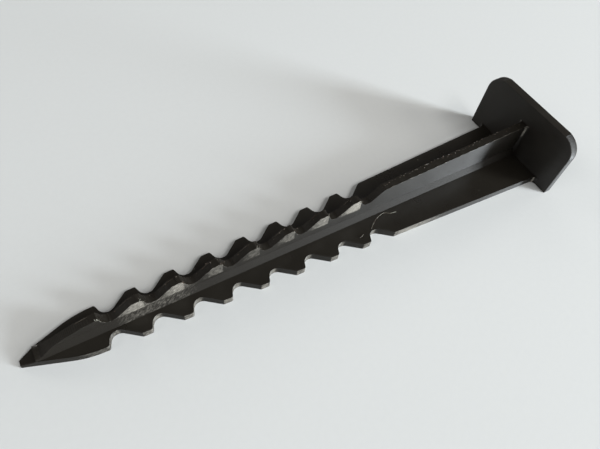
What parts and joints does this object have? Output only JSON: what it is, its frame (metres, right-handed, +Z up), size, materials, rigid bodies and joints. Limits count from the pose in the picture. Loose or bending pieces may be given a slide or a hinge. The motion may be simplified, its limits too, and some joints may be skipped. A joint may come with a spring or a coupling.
{
  "type": "ground spike",
  "caption": "T-section plastic ground spike with barbed edges, an arrow point and a flat round-cornered head for driving it in.",
  "frame": {"origin": "under the middle of the overall box, on the surface that the spike's flat underside lies on", "axes": "+X along the spike from its point to its head, +Y across the blade to its left edge, +Z up out of the flat underside, along the rib"},
  "size_m": [0.2036, 0.0466, 0.027],
  "materials": {
    "black_plastic": "printed in layers, satin, with fine lines along the sides"
  },
  "bodies": {
    "root": {"head_plate": "black_plastic", "shank_blade": "black_plastic", "barbed_blade": "black_plastic", "point_blade": "black_plastic", "shank_rib": "black_plastic", "barbed_rib": "black_plastic", "point_rib": "black_plastic", "left_rib_root": "black_plastic", "right_rib_root": "black_plastic"}
  },
  "joints": []
}
